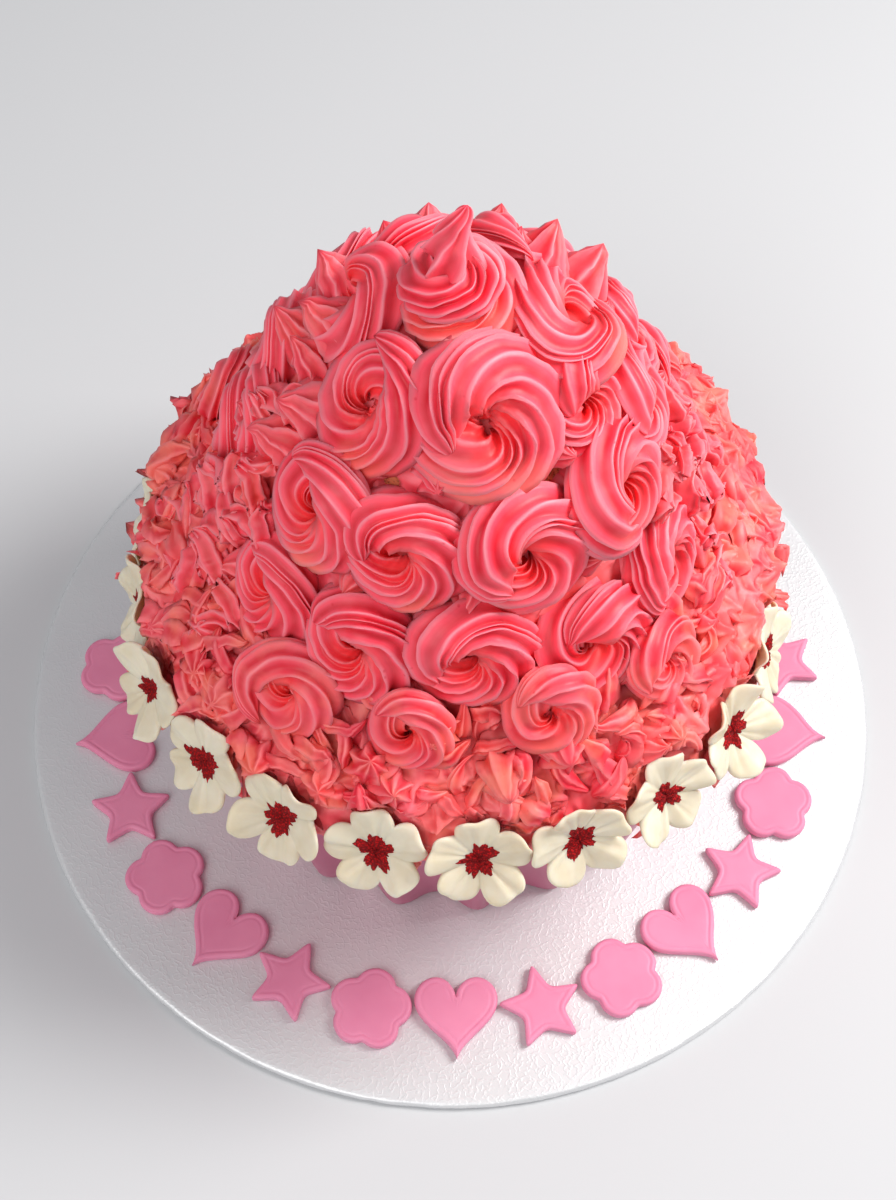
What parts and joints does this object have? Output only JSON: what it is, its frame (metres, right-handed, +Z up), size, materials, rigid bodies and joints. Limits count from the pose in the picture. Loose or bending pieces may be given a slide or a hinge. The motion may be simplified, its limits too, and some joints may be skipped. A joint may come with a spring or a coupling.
{
  "type": "birthday cake on a round board",
  "caption": "Tall cupcake-shaped celebration cake: fluted pink base, dome of piped buttercream rosettes, ring of sugar flowers, on a round silver board with sugar cut-outs.",
  "frame": {"origin": "middle of the board's underside, where the cake board stands on the table", "axes": "+Z up the cake's axis; -Y is the front, where the sugar cut-outs lie; +X to the right seen from the front"},
  "size_m": [0.305, 0.305, 0.263],
  "materials": {
    "silver_foil": "embossed satin foil on card",
    "pink_shell": "moulded candy coating, satin",
    "sponge": "open baked crumb",
    "buttercream": "soft satin, piped ridges",
    "ivory_sugar": "matte sugar paste",
    "red_sugar": "coarse sugar grains",
    "pink_sugar": "matte sugar paste, rounded edges"
  },
  "bodies": {
    "root": {"board": "silver_foil", "fluted_base": "pink_shell", "sponge_dome": "sponge", "buttercream": "buttercream", "flower_01": "ivory_sugar", "flower_02": "ivory_sugar", "flower_03": "ivory_sugar", "flower_04": "ivory_sugar", "flower_05": "ivory_sugar", "flower_06": "ivory_sugar", "flower_07": "ivory_sugar", "flower_08": "ivory_sugar", "flower_09": "ivory_sugar", "flower_10": "ivory_sugar", "flower_11": "ivory_sugar", "flower_12": "ivory_sugar", "flower_13": "ivory_sugar", "flower_14": "ivory_sugar", "flower_15": "ivory_sugar", "flower_16": "ivory_sugar", "flower_17": "ivory_sugar", "flower_18": "ivory_sugar", "flower_19": "ivory_sugar", "flower_20": "ivory_sugar", "flower_21": "ivory_sugar", "flower_22": "ivory_sugar", "sugar_blossom_01": "pink_sugar", "sugar_heart_02": "pink_sugar", "sugar_star_03": "pink_sugar", "sugar_blossom_04": "pink_sugar", "sugar_heart_05": "pink_sugar", "sugar_star_06": "pink_sugar", "sugar_blossom_07": "pink_sugar", "sugar_heart_08": "pink_sugar", "sugar_star_09": "pink_sugar", "sugar_blossom_10": "pink_sugar", "sugar_heart_11": "pink_sugar", "sugar_star_12": "pink_sugar", "sugar_blossom_13": "pink_sugar", "sugar_heart_14": "pink_sugar", "sugar_star_15": "pink_sugar"}
  },
  "joints": []
}
